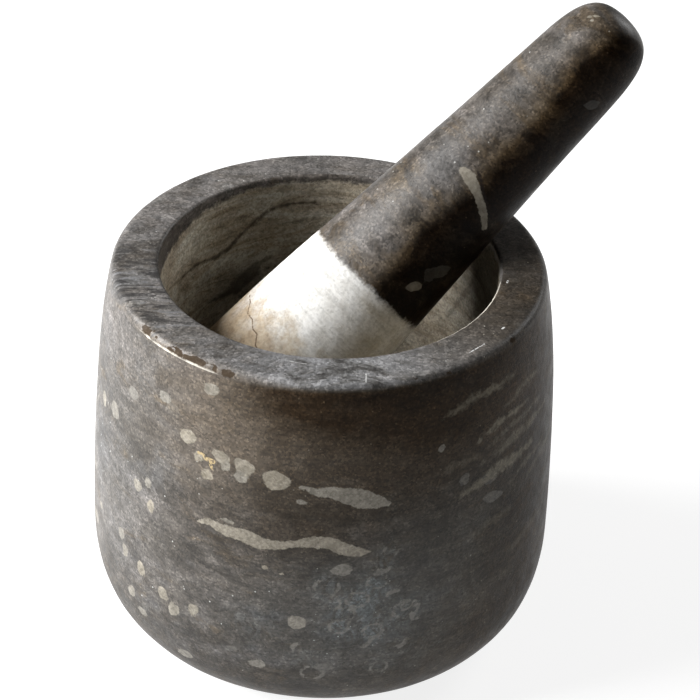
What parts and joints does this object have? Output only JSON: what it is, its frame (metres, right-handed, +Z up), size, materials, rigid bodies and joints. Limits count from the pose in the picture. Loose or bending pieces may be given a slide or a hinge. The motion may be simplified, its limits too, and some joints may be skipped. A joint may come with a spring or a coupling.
{
  "type": "mortar and pestle",
  "caption": "Barrel-sided stone mortar with a broad flat rim and a deep round-bottomed bowl, holding a loose tapered stone pestle that leans over the rim",
  "frame": {"origin": "centre of the mortar's flat ground underside, where it rests", "axes": "+Z up along the mortar's axis; the pestle leans in the bowl with its top towards +X and a little +Y, 24.7 degrees from +X"},
  "size_m": [0.1261, 0.1114, 0.1493],
  "materials": {
    "mortar_stone": "dark brown-grey fossil limestone, honed and oiled outside and on the rim, left raw inside the bowl",
    "pestle_stone": "dark brown-grey fossil limestone, honed and oiled on the shaft, ground raw and pale on the grinding end"
  },
  "bodies": {
    "mortar": {"mortar": "mortar_stone"},
    "pestle": {"pestle": "pestle_stone"}
  },
  "joints": [
    {"name": "pestle_lift", "type": "slide", "parent": "mortar", "child": "pestle", "axis": [0, 0, 1], "range_m": [0, 0.08]}
  ]
}
